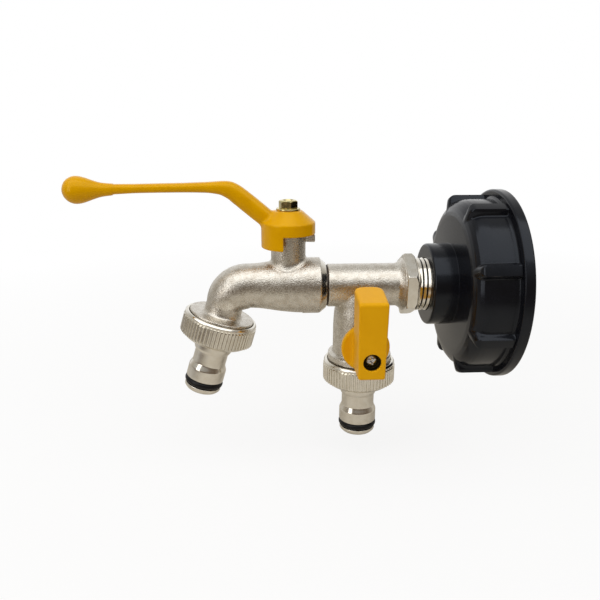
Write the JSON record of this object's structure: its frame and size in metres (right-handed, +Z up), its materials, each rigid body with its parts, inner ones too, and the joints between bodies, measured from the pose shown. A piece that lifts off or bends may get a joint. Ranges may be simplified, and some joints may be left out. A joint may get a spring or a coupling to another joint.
{
  "type": "ibc tap adapter",
  "caption": "Threaded tank cap with a nickel-plated brass tee, a branch ball valve with a flag handle and a lever ball tap, each ending in a quick-connect hose nipple.",
  "frame": {"origin": "centre of the tank thread, on its axis", "axes": "+X along the tank thread's axis, out of the cap's mouth; +Z up, towards the lever; the flag handle faces -Y"},
  "size_m": [0.1828, 0.0812, 0.1163],
  "materials": {
    "cap_plastic": "black injection-moulded, semi-gloss",
    "nickel_cast": "sand-cast brass, satin nickel plate",
    "nickel_turned": "turned brass, nickel plate",
    "lever_paint": "yellow powder coat, glossy",
    "flag_plastic": "yellow moulded plastic",
    "rubber_black": "black rubber",
    "seat_white": "white low-friction plastic",
    "ball_chrome": "chrome-plated, polished",
    "screw_steel": "bright zinc-plated steel",
    "zinc_yellow": "yellow zinc-plated steel"
  },
  "bodies": {
    "adapter": {"adapter_cap": "cap_plastic", "cap_gasket": "rubber_black", "tee_body": "nickel_cast", "branch_retainer": "nickel_turned", "branch_seat_upper": "seat_white", "branch_seat_lower": "seat_white", "branch_gland_nut": "nickel_turned", "branch_packing": "seat_white", "branch_union_nut": "nickel_turned", "branch_hose_nipple": "nickel_turned", "branch_nipple_o_ring": "rubber_black", "branch_flat_washer": "rubber_black", "tap_body": "nickel_cast", "tap_seat_retainer": "nickel_turned", "tap_seat_front": "seat_white", "tap_seat_rear": "seat_white", "tap_gland_nut": "nickel_turned", "tap_packing": "seat_white", "tap_union_nut": "nickel_turned", "tap_hose_nipple": "nickel_turned", "tap_nipple_o_ring": "rubber_black", "tap_flat_washer": "rubber_black"},
    "lever": {"lever_handle": "lever_paint", "lever_washer": "zinc_yellow", "lever_nut": "zinc_yellow", "tap_stem": "nickel_turned", "tap_ball": "ball_chrome"},
    "flag": {"branch_handle": "flag_plastic", "branch_handle_screw": "screw_steel", "branch_stem": "nickel_turned", "branch_ball": "ball_chrome"}
  },
  "joints": [
    {"name": "lever_turn", "type": "hinge", "parent": "adapter", "child": "lever", "pos_m": [-0.0834, 0, 0], "axis": [0, 0, 1], "range_deg": [0, 90]},
    {"name": "flag_turn", "type": "hinge", "parent": "adapter", "child": "flag", "pos_m": [-0.0517, 0, -0.023], "axis": [0, 1, 0], "range_deg": [0, 90]}
  ]
}
